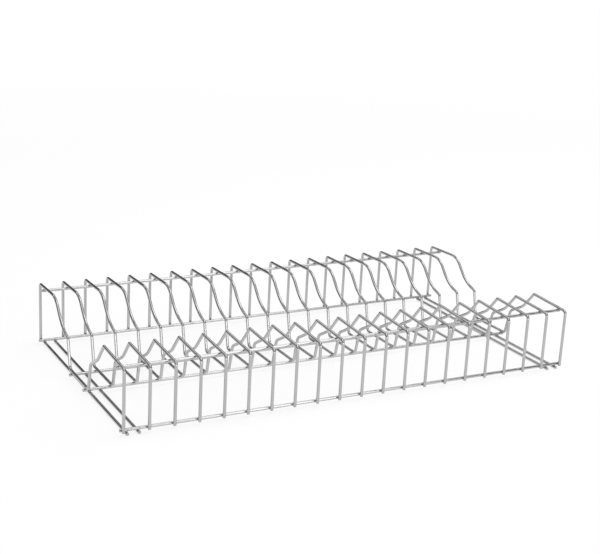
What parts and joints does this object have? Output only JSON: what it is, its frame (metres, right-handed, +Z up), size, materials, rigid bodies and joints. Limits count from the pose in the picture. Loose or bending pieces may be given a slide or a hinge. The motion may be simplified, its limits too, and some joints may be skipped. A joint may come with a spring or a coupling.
{
  "type": "cabinet dish rack",
  "caption": "Long low rack of welded round wire for a kitchen cabinet: bent cross wires hold dishes on edge over a trough, on straight side rails.",
  "frame": {"origin": "on the surface that the rack stands on, under the middle of its length and depth", "axes": "+X along the rack to its right end seen from the front, +Y from the front to the back, +Z up"},
  "size_m": [0.5472, 0.2864, 0.077],
  "materials": {
    "cross_wire": "bright plated wire, smooth",
    "long_wire": "bright plated wire, smooth",
    "side_rail": "bright plated wire, smooth"
  },
  "bodies": {
    "root": {"cross_wire_01": "cross_wire", "cross_wire_02": "cross_wire", "cross_wire_03": "cross_wire", "cross_wire_04": "cross_wire", "cross_wire_05": "cross_wire", "cross_wire_06": "cross_wire", "cross_wire_07": "cross_wire", "cross_wire_08": "cross_wire", "cross_wire_09": "cross_wire", "cross_wire_10": "cross_wire", "cross_wire_11": "cross_wire", "cross_wire_12": "cross_wire", "cross_wire_13": "cross_wire", "cross_wire_14": "cross_wire", "cross_wire_15": "cross_wire", "cross_wire_16": "cross_wire", "cross_wire_17": "cross_wire", "cross_wire_18": "cross_wire", "cross_wire_19": "cross_wire", "cross_wire_20": "cross_wire", "cross_wire_21": "cross_wire", "front_bottom_rail": "long_wire", "front_top_rail": "long_wire", "trough_front_wire": "long_wire", "trough_back_wire": "long_wire", "back_bottom_rail": "long_wire", "back_top_rail": "long_wire", "left_outer_side_rail": "side_rail", "left_inner_side_rail": "side_rail", "right_inner_side_rail": "side_rail", "right_outer_side_rail": "side_rail"}
  },
  "joints": []
}
